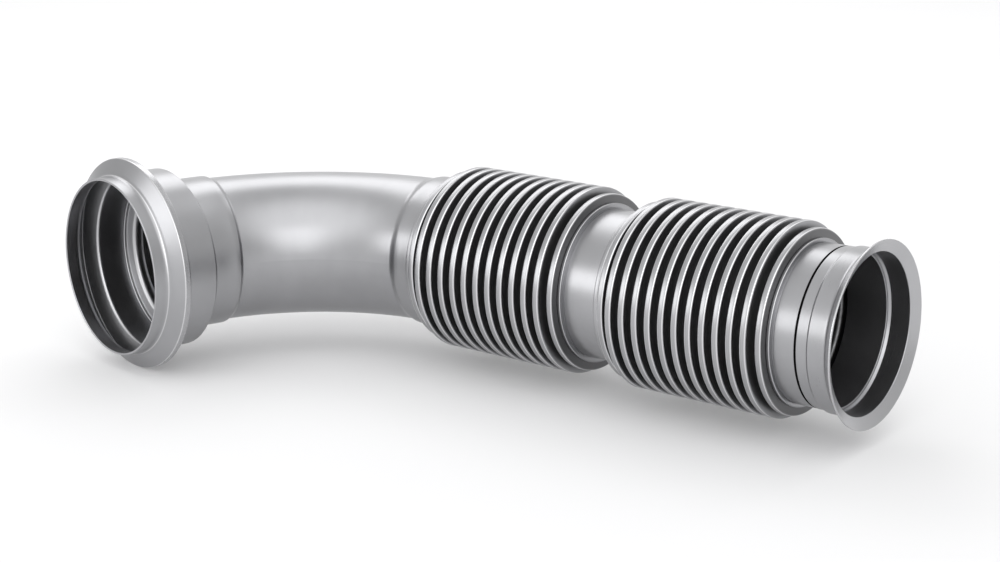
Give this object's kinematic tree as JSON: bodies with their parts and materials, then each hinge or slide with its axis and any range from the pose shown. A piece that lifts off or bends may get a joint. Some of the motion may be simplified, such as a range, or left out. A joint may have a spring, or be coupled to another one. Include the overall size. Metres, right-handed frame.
{
  "type": "exhaust flex pipe",
  "caption": "Bent steel exhaust pipe with a formed flange, two flexible bellows in its straight leg and a V-shaped clamp flange.",
  "frame": {"origin": "centre of the outlet mouth, in the plane of the outlet flange's rim", "axes": "+X out of the outlet along the straight leg, +Z the normal of the plane that the pipe bends in, with the inlet towards -Y"},
  "size_m": [0.7102, 0.3166, 0.1852],
  "materials": {
    "tube_steel": "satin stainless steel",
    "flange_steel": "satin stainless steel",
    "bellows_steel": "satin stainless steel",
    "collar_steel": "satin stainless steel"
  },
  "bodies": {
    "inlet_end": {"inlet_flange": "flange_steel", "inlet_reducer": "tube_steel", "elbow_tube": "tube_steel", "bellows_1_inlet_sleeve": "tube_steel", "bellows_1_inlet_collar": "collar_steel", "bellows_1": "bellows_steel"},
    "centre": {"bellows_1_outlet_collar": "collar_steel", "centre_tube": "tube_steel", "bellows_2_inlet_collar": "collar_steel"},
    "outlet_end": {"bellows_2": "bellows_steel", "bellows_2_outlet_collar": "collar_steel", "outlet_sleeve": "tube_steel", "outlet_tube": "tube_steel", "outlet_flange": "flange_steel"}
  },
  "joints": [
    {"name": "bellows_1_bend", "type": "hinge", "parent": "inlet_end", "child": "centre", "pos_m": [-0.3331, 0, 0], "axis": [0, 0, 1], "range_deg": [-8, 8], "stiffness_Nm_per_rad": 90, "deforming": ["bellows_1"]},
    {"name": "bellows_2_bend", "type": "hinge", "parent": "centre", "child": "outlet_end", "pos_m": [-0.1363, 0, 0], "axis": [0, 0, 1], "range_deg": [-8, 8], "stiffness_Nm_per_rad": 90, "deforming": ["bellows_2"]}
  ]
}
